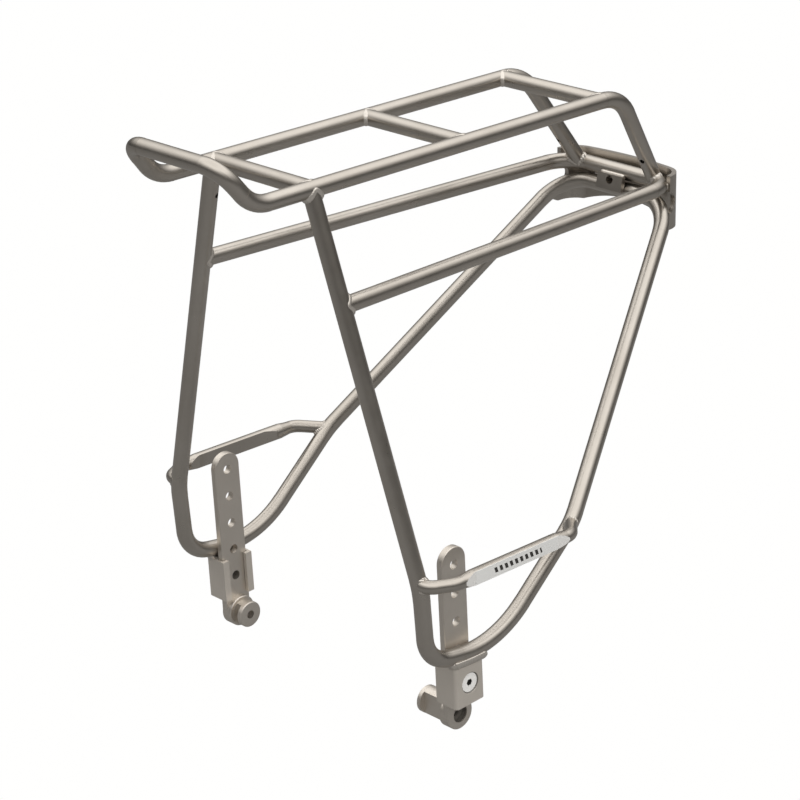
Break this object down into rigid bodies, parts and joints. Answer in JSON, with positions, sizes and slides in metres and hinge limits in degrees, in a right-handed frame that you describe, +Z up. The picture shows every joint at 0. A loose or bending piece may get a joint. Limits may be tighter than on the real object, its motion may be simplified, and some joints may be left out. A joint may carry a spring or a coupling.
{
  "type": "bicycle rear rack",
  "caption": "Welded tubular bicycle rear rack with a raised front lip, low pannier rails, splayed legs, flattened leg braces, a rear light band and sliding feet.",
  "frame": {"origin": "midway between the two foot-bolt eyes, on their common axis, with the feet in their shortest setting", "axes": "+X forward towards the raised lip, +Y to the bicycle's left, +Z up"},
  "size_m": [0.3792, 0.252, 0.3605],
  "materials": {
    "frame_metal": "satin champagne-grey metallic",
    "strip_metal": "satin champagne-grey metallic",
    "screw": "bright turned steel",
    "label": "silver sticker"
  },
  "bodies": {
    "frame": {"deck_loop": "frame_metal", "front_cross_tube": "frame_metal", "middle_cross_tube": "frame_metal", "rear_cross_tube": "frame_metal", "pannier_rail_loop": "frame_metal", "leg_tube_left": "frame_metal", "leg_tube_right": "frame_metal", "brace_left": "frame_metal", "brace_right": "frame_metal", "brace_label_left": "label", "brace_label_right": "label", "light_plate": "frame_metal", "rear_band": "frame_metal", "foot_bracket_left": "frame_metal", "foot_bracket_right": "frame_metal", "clamp_screw_left": "screw", "clamp_screw_right": "screw"},
    "left_foot": {"foot_strip_left": "strip_metal", "foot_spacer_left": "strip_metal"},
    "right_foot": {"foot_strip_right": "strip_metal", "foot_spacer_right": "strip_metal"}
  },
  "joints": [
    {"name": "left_foot_slide", "type": "slide", "parent": "frame", "child": "left_foot", "axis": [-0.0349, 0, -0.9994], "range_m": [0, 0.074]},
    {"name": "right_foot_slide", "type": "slide", "parent": "frame", "child": "right_foot", "axis": [-0.0349, 0, -0.9994], "range_m": [0, 0.074]}
  ]
}
